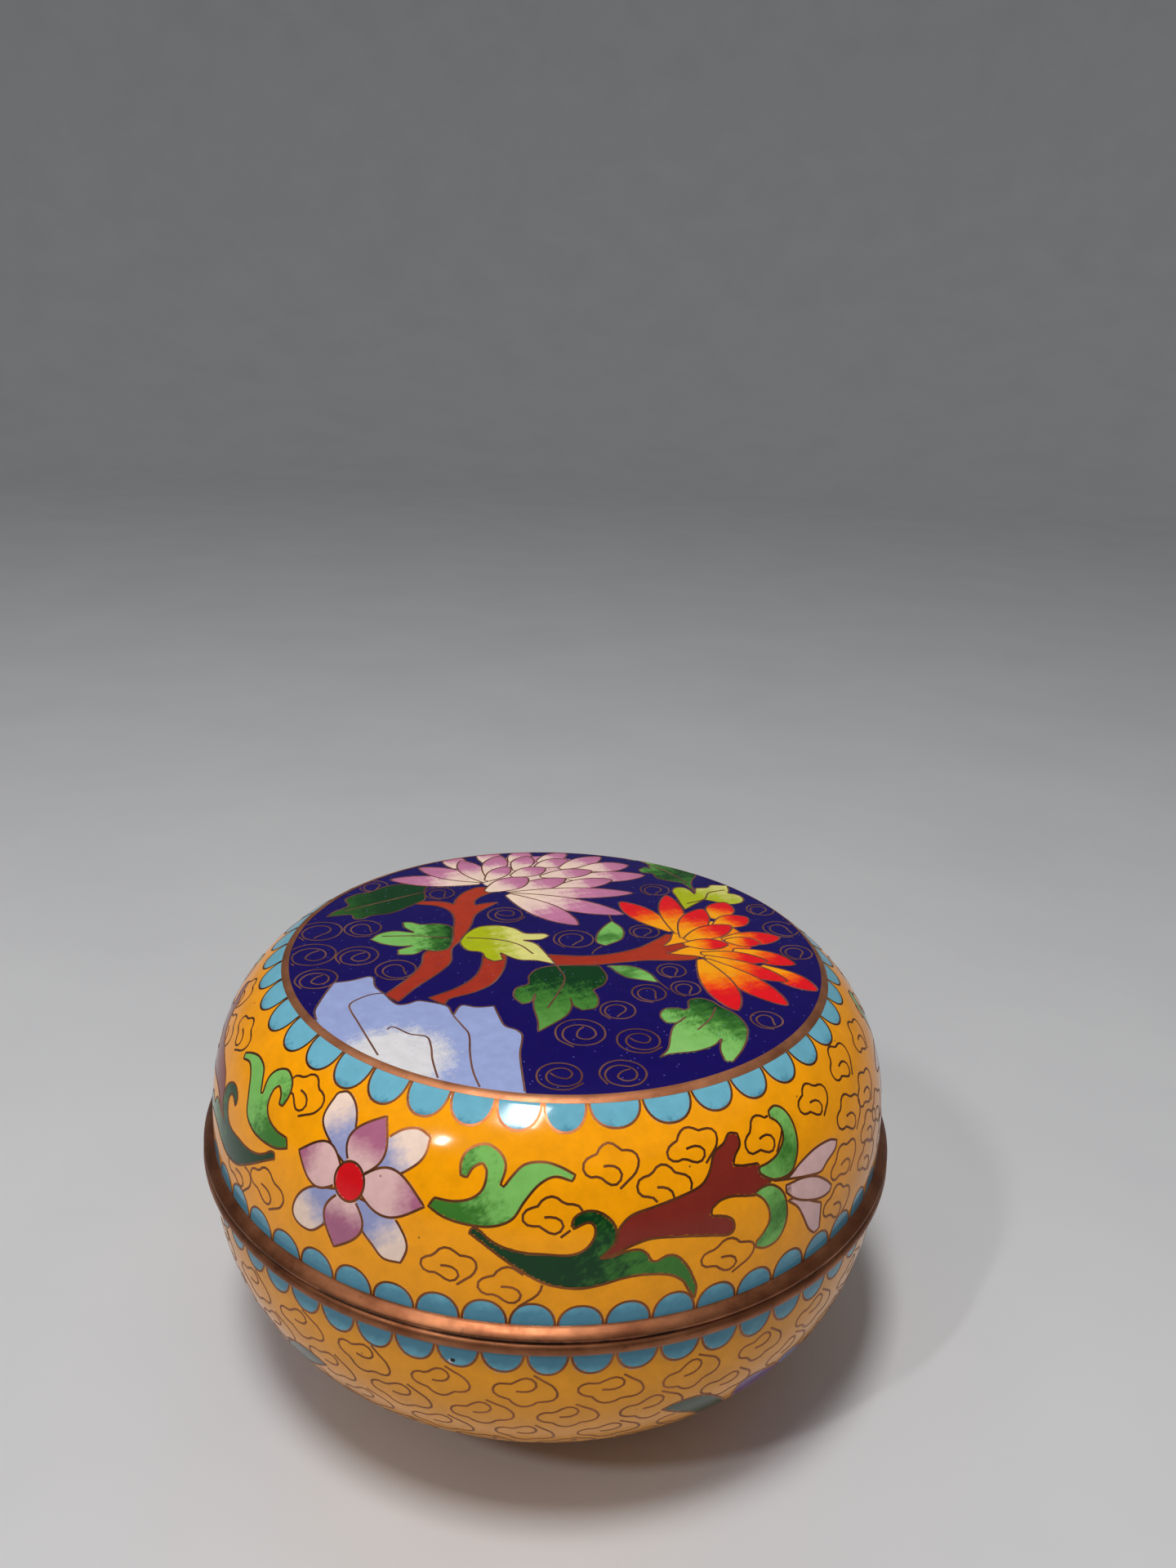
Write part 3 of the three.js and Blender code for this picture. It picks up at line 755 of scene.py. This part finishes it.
def lid_picture():
    """Clouds and scallops, and a scroll of leaves and buds between two flowers, drawn once for a
    quarter of the turn and then mirrored about each flower."""
    picture = Picture(ROUND)
    quarters = [(FLOWER_TURN + half_turn, way) for half_turn in (0, 180) for way in (1, -1)]
    for number, (turn, way) in enumerate(quarters):
        for index, centre in enumerate(LID_CLOUDS + (RIGHT_CLOUDS if way > 0 else LEFT_CLOUDS)):
            middle = mirrored(centre, turn, way, FLOWER_TURN)
            picture.wire(cloud(middle, LID_CLOUD, index + 5 * number))
    hanging = [(0.8, TURQUOISE), (1, TEAL)]
    scallops(picture, [-4.55, 2.0], 55, LID_EDGE, 2.9, SCALLOP_TONES)
    scallops(picture, UPPER_JOINTS, 44, RING_DROP, -3.4, hanging, spare=0.5)
    leafy = [(0.3, GREEN), (0.6, SPRING_GREEN)]
    dark = [(0.55, DEEP_GREEN), (0.8, GREEN)]
    sprig = [(0, SPRING_GREEN), (0.6, GREEN), (1, SPRING_GREEN)]
    bud = [(0, BUD_SHADE), (0.25, BLUSH)]
    scroll = [(SCROLL_BRANCH, [(0, RUST)], (8, 8), (34, 14)),
              (DARK_SCROLL, dark, (-10, 10), (20, 6))]
    scroll += [(outline, bud, (36, 11.5), (48, 10)) for outline in BUD]
    scroll += [(UPPER_SPRIG, sprig, (33, 14), (40, 20)), (LOWER_SPRIG, sprig, (32, 12.3), (33, 5)),
               (SCROLL_LEAF, leafy, (-15, 12), (-2, 18.5))]
    for turn, way in quarters:
        for outline, tones, start, end in scroll:
            nearer = LEFT_NEARER if way < 0 and outline is not SCROLL_LEAF else 0
            outline, start, end = [mirrored(points, turn, way, FLOWER_TURN + nearer)
                                   for points in (outline, start, end)]
            picture.cell(smooth(outline), tones, start, end, 0.12)
    for shift in (0, 180):
        middle = degrees((FLOWER_TURN + shift, FLOWER_DROP))
        for outline in LID_BACK_PETALS:
            outline = degrees(np.array(outline) + (shift, 0))
            tip = outline[len(outline) // 2]
            picture.cell(smooth(outline), [(0.5, SKY), (0.8, IVORY)], middle, tip, 0.05)
        for base, tip, width, hook, lilac in LID_PETALS:
            base, tip = degrees(np.array(base) + (shift, 0)), degrees(np.array(tip) + (shift, 0))
            tones = [(lilac, BLUSH), (lilac + 0.35, LILAC)]
            picture.cell(smooth(petal(base, tip, width, 0.48, 1.05, hook)), tones, base, tip, 0.05)
        heart(picture, middle, 2.2, 2.35)
    return picture


# The turn in degrees and the drop of the base's first flower
BASE_FLOWER = 52.0
BASE_FLOWER_DROP = 28
BASE_LEAF = [(18.5, 12.5), (21, 11.6), (25, 11.8), (29, 14.5), (32.3, 19), (34.5, 28), (31, 25),
             (28, 20.5), (24.5, 16.4), (21, 14.2)]


def base_picture():
    """Rows of clouds under a row of scallops, and three flowers with a leaf on either side. Clouds
    are drawn larger where the base is narrower, to keep their width, down to a narrowest radius."""
    picture = Picture(ROUND)
    far = BASE_CURVE[0][-1]
    first_row, row_step, last_room = 6.3, 4.85, 2
    cloud_step, narrowest = 10.3, 36
    for row, drop in enumerate(np.arange(first_row, far - last_room, row_step)):
        radius = np.interp(drop, BASE_CURVE[0], BASE_CURVE[1])
        count = int(round(2 * np.pi * radius / cloud_step))
        for index in range(count):
            turn = (index + 0.5 * (row % 2)) / count * ROUND - 2 * DEGREE
            size = BASE_CLOUD * BASE_RADIUS / max(radius, narrowest)
            picture.wire(cloud((turn, drop), size, index + 7 * row))
    scallops(picture, [-2, 4], 58, BASE_EDGE, 3.3, SCALLOP_TONES)
    leafy = [(0.5, DEEP_GREEN), (1, GREEN)]
    petals = [((42, 12.5), [(0.5, VIOLET), (1, SKY)]),
              ((32.5, 12.8), [(0, BLUSH), (0.35, PLUM), (1, PURPLE)])]
    for turn in BASE_FLOWER + np.arange(3) * 120:
        middle = degrees((turn, BASE_FLOWER_DROP))
        for way in (-1, 1):
            outline, start, end = [mirrored(points, turn, way, BASE_FLOWER)
                                   for points in (BASE_LEAF, (19, 12.5), (33, 27))]
            picture.cell(smooth(outline), leafy, start, end, 0.15)
            for tip, tones in petals:
                tip = mirrored(tip, turn, way, BASE_FLOWER)
                picture.cell(smooth(petal(middle, tip, 7.5, 0.66, 0.6)), tones, middle, tip, 0.1)
        heart(picture, middle, 2.6, 2.6)
    return picture


# Materials

class Finish:
    """A material's node tree, with short ways to add what it needs."""

    def __init__(self, name):
        self.material = bpy.data.materials.new(name)
        self.material.use_nodes = True
        self.tree = self.material.node_tree
        self.tree.nodes.clear()
        self.shader = self.add("ShaderNodeBsdfPrincipled")
        self.add("ShaderNodeOutputMaterial", Surface=self.shader.outputs["BSDF"])
        self.place = self.add("ShaderNodeTexCoord").outputs["Object"]

    def feed(self, node, values):
        """Each input of a node, by name or number, takes its value, or a link where the value is a
        socket. A space in a name is written as _."""
        for key, value in values.items():
            socket = node.inputs[key.replace("_", " ") if isinstance(key, str) else key]
            if isinstance(value, bpy.types.NodeSocket):
                self.tree.links.new(value, socket)
            else:
                socket.default_value = value

    def add(self, kind, **values):
        """A new node, with its inputs fed."""
        node = self.tree.nodes.new(kind)
        self.feed(node, values)
        return node

    def surface(self, **values):
        """The shader's own inputs, fed."""
        self.feed(self.shader, values)

    def noise(self, size, detail=3.0, roughness=0.55, stretch=(1, 1, 1)):
        """Noise whose lumps are about a size in millimetres across, from 0 to 1."""
        vector = self.place
        if stretch != (1, 1, 1):
            vector = self.add("ShaderNodeMapping", Vector=vector, Scale=stretch).outputs["Vector"]
        node = self.add("ShaderNodeTexNoise", Vector=vector, Scale=1 / (size * MM), Detail=detail,
                        Roughness=roughness)
        return node.outputs["Fac"]

    def between(self, value, low, high, to_low=0.0, to_high=1.0):
        """A value carried from one range to another, and held at its ends."""
        node = self.add("ShaderNodeMapRange", Value=value, From_Min=low, From_Max=high, To_Min=to_low,
                        To_Max=to_high)
        return node.outputs["Result"]

    def dots(self, spacing, left_out, size):
        """Small round dots, 1 inside and 0 outside: of cells a spacing in millimetres apart, the
        given share is left out, and the size is the dot's radius as a share of the spacing."""
        cells = self.add("ShaderNodeTexVoronoi", Vector=self.place, Scale=1 / (spacing * MM))
        split = self.add("ShaderNodeSeparateColor", Color=cells.outputs["Color"])
        chosen = self.between(split.outputs["Red"], left_out, left_out + 0.01)
        dot = self.between(cells.outputs["Distance"], size * 0.8, size * 1.3, 1.0, 0.0)
        return self.product(chosen, dot)

    def near(self, centre, within, beyond):
        """1 within a distance in millimetres of a place, falling to 0 beyond another."""
        node = self.tree.nodes.new("ShaderNodeVectorMath")
        node.operation = "DISTANCE"
        self.feed(node, {0: self.place, 1: [value * MM for value in centre]})
        return self.between(node.outputs["Value"], within * MM, beyond * MM, 1.0, 0.0)

    def mix(self, share, first, second, kind="MIX"):
        """The first colour carried towards the second by a share. Each is a value or a socket."""
        node = self.tree.nodes.new("ShaderNodeMix")
        node.data_type = "RGBA"
        node.blend_type = kind
        self.feed(node, {0: share, 6: first, 7: second})
        return node.outputs[2]

    def product(self, first, second):
        """One number times another. Each is a value or a socket."""
        node = self.tree.nodes.new("ShaderNodeMath")
        node.operation = "MULTIPLY"
        self.feed(node, {0: first, 1: second})
        return node.outputs[0]

    def bump(self, height, distance, strength=1.0, below=None):
        """Dents as deep as a distance in millimetres, over those below."""
        node = self.add("ShaderNodeBump", Height=height, Strength=strength, Distance=distance * MM)
        if below is not None:
            self.feed(node, {"Normal": below})
        self.surface(Normal=node.outputs["Normal"])
        return node.outputs["Normal"]


def tone(colour):
    """A colour given as 0 to 255 on a screen, as a socket takes it."""
    return (*linear(colour), 1.0)


SPECK, PIT, TARNISH = (136, 130, 205), (52, 34, 24), (50, 34, 26)
FLOOR_TONES = (203, 203, 204), (208, 208, 208)


def enamel_finish(name, ground=None, pit_share=0.84, speckle=0.0, chips_and_glint=(), shine=0.3):
    """Fired and polished enamel: the cells' colours, a little uneven, with fine waves and polishing
    lines, a few pinholes that have filled with dark polish, and the given chips and painted glint."""
    finish = Finish(name)
    if ground is None:
        colour = finish.add("ShaderNodeAttribute")
        colour.attribute_name = "enamel"
        colour = colour.outputs["Color"]
    else:
        colour = finish.mix(finish.between(finish.noise(9, 4), 0.35, 0.7), tone(ground[0]), tone(ground[1]))
    shade = finish.between(finish.noise(2.2, 4, 0.65), 0.3, 0.72, 0.9, 1.06)
    grey = finish.add("ShaderNodeCombineColor", Red=shade, Green=shade, Blue=shade)
    colour = finish.mix(1.0, colour, grey.outputs["Color"], "MULTIPLY")
    if speckle:
        specks = finish.product(finish.dots(1.0, 0.45, 0.085), speckle)
        colour = finish.mix(specks, colour, tone(SPECK))
    pit = finish.dots(2.4, pit_share, 0.055)
    colour = finish.mix(finish.product(pit, 0.75), colour, tone(PIT))
    # Spots painted over the colour: chips, and a painted highlight where a nick glints
    for centre, size, spot_colour in chips_and_glint:
        colour = finish.mix(finish.near(centre, size * 0.8, size * 1.1), colour, tone(spot_colour))
    rough = finish.between(finish.noise(5, 3), 0.35, 0.75, 0.08, 0.15)
    finish.surface(Base_Color=colour, Roughness=rough, IOR=1.45, Specular_IOR_Level=shine)
    waves = finish.bump(finish.noise(4.5, 2, 0.5), 0.010)
    polish = finish.bump(finish.noise(0.7, 3, 0.6, (0.12, 0.12, 2.5)), 0.0012, 1.0, waves)
    finish.bump(finish.between(pit, 0, 1, 1, 0), 0.03, 0.8, polish)
    return finish.material


def copper_finish(name, dark, bright, patch, roughness=(0.36, 0.5), seam=False):
    """Worn copper: brown patina broken by brighter rubbed places and dark spots, with fine
    scratches that run round the box. At the seam, black tarnish lies in patches along the joint."""
    finish = Finish(name)
    worn = finish.between(finish.noise(6, 4, 0.55), 0.35, 0.68)
    colour = finish.mix(worn, tone(dark), tone(bright))
    streaks = finish.between(finish.noise(1.1, 4, 0.6, (0.3, 0.3, 2.0)), 0.4, 0.7)
    colour = finish.mix(finish.product(streaks, 0.3), colour, tone(patch))
    spots = finish.between(finish.noise(1.6, 4, 0.62), 0.62, 0.70)
    colour = finish.mix(finish.product(spots, 0.35), colour, tone(patch))
    if seam:
        split = finish.add("ShaderNodeSeparateXYZ", Vector=finish.place)
        above = finish.between(split.outputs["Z"], (SEAM + 0.15) * MM, (SEAM + 0.7) * MM, 1.0, 0.0)
        below = finish.between(split.outputs["Z"], (SEAM - 0.35) * MM, (SEAM - 0.1) * MM)
        patches = finish.between(finish.noise(8, 4, 0.65), 0.47, 0.58)
        grime = finish.product(finish.product(above, below), patches)
        colour = finish.mix(finish.between(grime, 0.1, 0.6, 0.0, 0.9), colour, tone(TARNISH))
    rough = finish.between(finish.noise(2.5, 4, 0.6), 0.35, 0.7, *roughness)
    finish.surface(Base_Color=colour, Metallic=1.0, Roughness=rough)
    dents = finish.bump(finish.noise(2.6, 2, 0.5), 0.012)
    finish.bump(finish.noise(0.5, 3, 0.6, (0.2, 0.2, 2.5)), 0.004, 0.7, dents)
    return finish.material


def finished(piece, material, *nodes, slot="copper"):
    """The piece takes its material, rides with the box and stands for its CAD nodes."""
    piece.data.materials.clear()
    piece.data.materials.append(material)
    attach(piece, "root")
    if nodes:
        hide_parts(*nodes)
    return piece


def enamelled(piece, flat, picture, ground):
    """Writes the picture's colours into the piece's points, over a slightly uneven ground."""
    shade = 1 + 0.03 * mottle(flat, 9.0)[:, None]
    colours = picture.colours(flat, linear(ground) * shade)
    layer = piece.data.color_attributes.new(name="enamel", type="FLOAT_COLOR", domain="POINT")
    full = np.concatenate([colours, np.ones((len(colours), 1))], -1)
    layer.data.foreach_set("color", full.astype(np.float32).ravel())


# Pieces

# Two small faults in the glaze: a filled pit with a pale edge below the rim, and a nick under the ring
# whose glint is painted in as a bright spot, a painted highlight. Each spot has its place, radius and
# colour.
CHIPS_AND_GLINT = [(on_base(degrees((-12.3, 2.6))), 0.34, (196, 202, 206)),
         (on_base(degrees((-12.0, 2.4))), 0.32, (20, 16, 16)),
         # A near-white spot: a painted highlight, the glint of the nick under the ring
         (on_lid(degrees((-17.0, RING_DROP - 0.5))), 0.22, (238, 236, 230))]

top_wires = copper_finish("fine_copper_wire", (178, 114, 90), (222, 158, 130), (120, 72, 56))
# The side wires' copper is darker than the top wires': painted shade, for wires that face sideways and show
# darker reflections
side_wires = copper_finish("shaded_copper_wire", (128, 76, 46), (168, 104, 64), (84, 50, 32))
picture_enamel = enamel_finish("cobalt_ground_enamel", speckle=0.6, pit_share=0.9, shine=0.2)
side_enamel = enamel_finish("yellow_ground_enamel", chips_and_glint=CHIPS_AND_GLINT)
inner_enamel = enamel_finish("turquoise_enamel", ((58, 150, 186), (84, 178, 204)))
ring_copper = copper_finish("rubbed_copper", (178, 114, 78), (214, 148, 106), (120, 74, 52), (0.5, 0.62))
rim_copper = copper_finish("patinated_copper", (128, 76, 50), (166, 108, 74), (80, 48, 34), (0.4, 0.52),
                           seam=True)

top, top_flat = top_coat("lid_top_picture", TOP_GRID)
picture = top_picture()
enamelled(top, top_flat, picture, COBALT)
finished(top, picture_enamel, "lid_top_enamel", slot="cobalt_enamel")
wire_reach = RING_INSIDE - 0.1
shown = picture.wires(lambda path: np.hypot(path[:, 0] - RING_SHIFT, path[:, 1]) < wire_reach)
finished(wire_piece("lid_top_wires", shown, on_top, TOP_WIRE), top_wires)

for name, place, curve, grid, draw, ground in (
        ("lid_side", on_lid, LID_CURVE, LID_GRID, lid_picture, YELLOW),
        ("base_side", on_base, BASE_CURVE, BASE_GRID, base_picture, BASE_YELLOW)):
    side, side_flat = side_coat(name + "_picture", place, curve, grid)
    picture = draw()
    enamelled(side, side_flat, picture, ground)
    finished(side, side_enamel, name + "_enamel", slot="yellow_enamel")
    finished(wire_piece(name + "_wires", picture.wires(), place, SIDE_WIRE), side_wires)

finished(top_ring("lid_copper_ring"), ring_copper, "lid_top_ring")

# The rims' sections, from the inside round below: each stops a hair short of the seam, laps a
# little over its coat and has a cap over the wall
HAIR = 0.02
OVER = 0.04
CAP = 0.6
lid_edge, base_edge = LID_CURVE[1][0], BASE_CURVE[1][0]
lid_inside = lid_edge - WALL
edge_round = 0.45
edge_middle = (RIM_RADIUS - 0.1 - edge_round, SEAM + HAIR + edge_round)
lid_band = np.vstack([[[lid_inside, SEAM + HAIR]],
                      arc(edge_middle, (edge_round, edge_round), -88, 30, 10),
                      [[lid_edge + 0.8, SEAM + LID_RIM - 0.42], [lid_edge + 0.4, SEAM + LID_RIM - 0.13],
                       [lid_edge + 0.05, SEAM + LID_RIM + OVER], [lid_edge - ENAMEL, SEAM + LID_RIM],
                       [lid_edge - ENAMEL, SEAM + CAP], [lid_inside, SEAM + CAP]]])
finished(turned("lid_copper_rim", lid_band), rim_copper, "lid_rim")

lip_outside = lid_inside - LIP_CLEARANCE
lip_inside = lip_outside - LIP_THICKNESS
lip_top = SEAM + LIP_HEIGHT
lip_round = 0.3
lip_middle = ((lip_outside + lip_inside) / 2, lip_top - lip_round)
bulge = 1.15
bead_middle = (RIM_RADIUS - bulge, SEAM - BASE_RIM / 2 - OVER)
base_band = np.vstack([[[base_edge - ENAMEL, SEAM - CAP], [base_edge - ENAMEL, SEAM - BASE_RIM - OVER]],
                       arc(bead_middle, (bulge, BASE_RIM / 2), -90, 88, 15),
                       [[RIM_RADIUS - bulge, SEAM - HAIR], [lip_outside, SEAM - HAIR],
                        [lip_outside, lip_top - lip_round]],
                       arc(lip_middle, (LIP_THICKNESS / 2, lip_round), 0, 180, 7),
                       [[lip_inside, SEAM - CAP]]])
finished(turned("base_copper_rim", base_band), rim_copper, "base_rim")


def base_height(radius):
    """The height of the base's curve at a radius."""
    return SEAM - BASE_DEPTH * share_at(BASE_RADIUS, BASE_FULLNESS, radius)


foot_inside = FOOT_RADIUS - FOOT_WALL
foot_round = 0.35
foot = np.vstack([arc(((FOOT_RADIUS + foot_inside) / 2, foot_round), (FOOT_WALL / 2, foot_round),
                      -180, 0, 13),
                  [[FOOT_RADIUS, base_height(FOOT_RADIUS)],
                   [FOOT_RADIUS - 0.4, base_height(FOOT_RADIUS) + ENAMEL],
                   [foot_inside, base_height(foot_inside) + ENAMEL],
                   [foot_inside, base_height(foot_inside)]]])
finished(turned("copper_foot", foot), rim_copper, "foot_ring")

under_radius = np.linspace(HAIR, foot_inside, 30)
under = np.stack([under_radius, base_height(under_radius)], -1)
finished(turned("underside_enamel", np.vstack([under, under[::-1] + (0, ENAMEL)])), inner_enamel,
         "base_underside_enamel", slot="turquoise_enamel")

for name in ("lid_body", "base_body", "lid_lining", "base_lining"):
    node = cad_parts[name]
    node.data.materials.clear()
    node.data.materials.append(rim_copper if name.endswith("body") else inner_enamel)


# Floor, light and camera

def backdrop():
    """A pale floor that curves up into a low wall all round: a line in metres, with a quarter
    circle in it, turned about the box's axis."""
    around, flat_to, bend, wall_top = 96, 1.3, 0.9, 1.7
    curved = arc((flat_to, bend), (bend, bend), -90, 0, 24)
    line = np.vstack([[[0.0005, 0.0]], curved, [[2.2, wall_top]]])
    piece = new_piece("floor", revolved(line[:, :1], line[:, 1:], around) / MM,
                      [grid_faces(len(line), around, wrap_columns=True)[:, ::-1]])
    finish = Finish("pale_floor")
    shade = finish.mix(finish.between(finish.noise(60, 3), 0.3, 0.7), *map(tone, FLOOR_TONES))
    finish.surface(Base_Color=shade, Roughness=0.6)
    piece.data.materials.append(finish.material)


def area_light(name, at, target, size, power):
    """A rectangular soft light at a place, facing another."""
    light = bpy.data.lights.new(name, "AREA")
    light.shape = "RECTANGLE"
    light.size, light.size_y = size
    light.energy = power
    lamp = bpy.data.objects.new(name, light)
    lamp.location = at
    lamp.rotation_euler = (Vector(at) - Vector(target)).to_track_quat("Z", "Y").to_euler()
    scene.collection.objects.link(lamp)


# Each light stands where its highlight falls on the lid as in the photograph
backdrop()
area_light("key", (-0.063, -0.223, 0.631), (-0.003, -0.041, 0.062), (0.095, 0.15), 2.65)
area_light("fill", (-0.493, -0.582, 0.765), (0, 0, 0.05), (0.028, 0.09), 1.8)

world = bpy.data.worlds.new("studio")
world.use_nodes = True
background = world.node_tree.nodes["Background"]
background.inputs["Color"].default_value = (0.28, 0.285, 0.295, 1)
background.inputs["Strength"].default_value = 1.0
scene.world = world
scene.view_settings.view_transform = "Standard"

# The photograph's camera, in metres and radians, with its focal length in the picture's pixels
CAMERA_PLACE = (0.0, -0.168233, 0.146678)
PITCH, YAW, ROLL = 0.32583, 0.02348, 0.04148
FOCAL_PIXELS = 1550
PICTURE_PIXELS = 1920
SENSOR = 36
forward = np.array([np.sin(YAW) * np.cos(PITCH), np.cos(YAW) * np.cos(PITCH), -np.sin(PITCH)])
level = np.array([np.cos(YAW), -np.sin(YAW), 0.0])
upright = np.cross(level, forward)
right = np.cos(ROLL) * level + np.sin(ROLL) * upright
up = np.cos(ROLL) * upright - np.sin(ROLL) * level
camera = bpy.data.objects.new("camera", bpy.data.cameras.new("camera"))
camera.data.sensor_width = SENSOR
camera.data.lens = FOCAL_PIXELS / PICTURE_PIXELS * SENSOR
camera.data.clip_start = 0.01
turn = np.eye(4)
turn[:3, 0], turn[:3, 1], turn[:3, 2], turn[:3, 3] = right, up, -forward, CAMERA_PLACE
camera.matrix_world = Matrix(turn.tolist())
scene.collection.objects.link(camera)
scene.camera = camera
